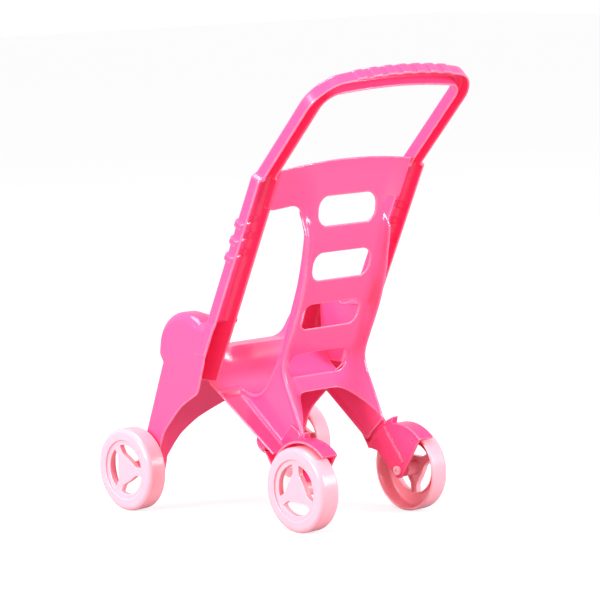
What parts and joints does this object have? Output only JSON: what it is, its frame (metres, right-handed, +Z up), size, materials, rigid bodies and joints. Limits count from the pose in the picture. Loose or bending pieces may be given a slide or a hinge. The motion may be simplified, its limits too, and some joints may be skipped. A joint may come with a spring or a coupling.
{
  "type": "doll stroller",
  "caption": "Toy push stroller for a doll: looped handle, moulded seat with a slotted back, knee lobes and spinning wheels on stub axles.",
  "frame": {"origin": "middle of the stroller's footprint box, on the floor", "axes": "+Z up, +X to the stroller's left as it rolls forward, -Y forward"},
  "size_m": [0.281, 0.387, 0.5139],
  "materials": {
    "frame_pink": "glossy injection-moulded pink plastic",
    "bracket_pink": "glossy injection-moulded pink plastic",
    "wheel_pale": "satin-gloss moulded pale pink plastic",
    "pin_pale": "glossy moulded pale pink plastic"
  },
  "bodies": {
    "frame": {"front_frame": "frame_pink", "rear_shell": "frame_pink", "rear_bracket_left": "bracket_pink", "rear_bracket_right": "bracket_pink"},
    "front_wheel_left_body": {"front_wheel_left": "wheel_pale", "front_axle_left": "pin_pale"},
    "front_wheel_right_body": {"front_wheel_right": "wheel_pale", "front_axle_right": "pin_pale"},
    "rear_wheel_left_body": {"rear_wheel_left": "wheel_pale", "rear_axle_left": "pin_pale"},
    "rear_wheel_right_body": {"rear_wheel_right": "wheel_pale", "rear_axle_right": "pin_pale"}
  },
  "joints": [
    {"name": "front_wheel_left_spin", "type": "hinge", "parent": "frame", "child": "front_wheel_left_body", "pos_m": [0.1285, -0.14599, 0.0475], "axis": [1, 0, 0], "continuous": true},
    {"name": "front_wheel_right_spin", "type": "hinge", "parent": "frame", "child": "front_wheel_right_body", "pos_m": [-0.1285, -0.14599, 0.0475], "axis": [1, 0, 0], "continuous": true},
    {"name": "rear_wheel_left_spin", "type": "hinge", "parent": "frame", "child": "rear_wheel_left_body", "pos_m": [0.0835, 0.09701, 0.0475], "axis": [1, 0, 0], "continuous": true},
    {"name": "rear_wheel_right_spin", "type": "hinge", "parent": "frame", "child": "rear_wheel_right_body", "pos_m": [-0.0835, 0.09701, 0.0475], "axis": [1, 0, 0], "continuous": true}
  ]
}
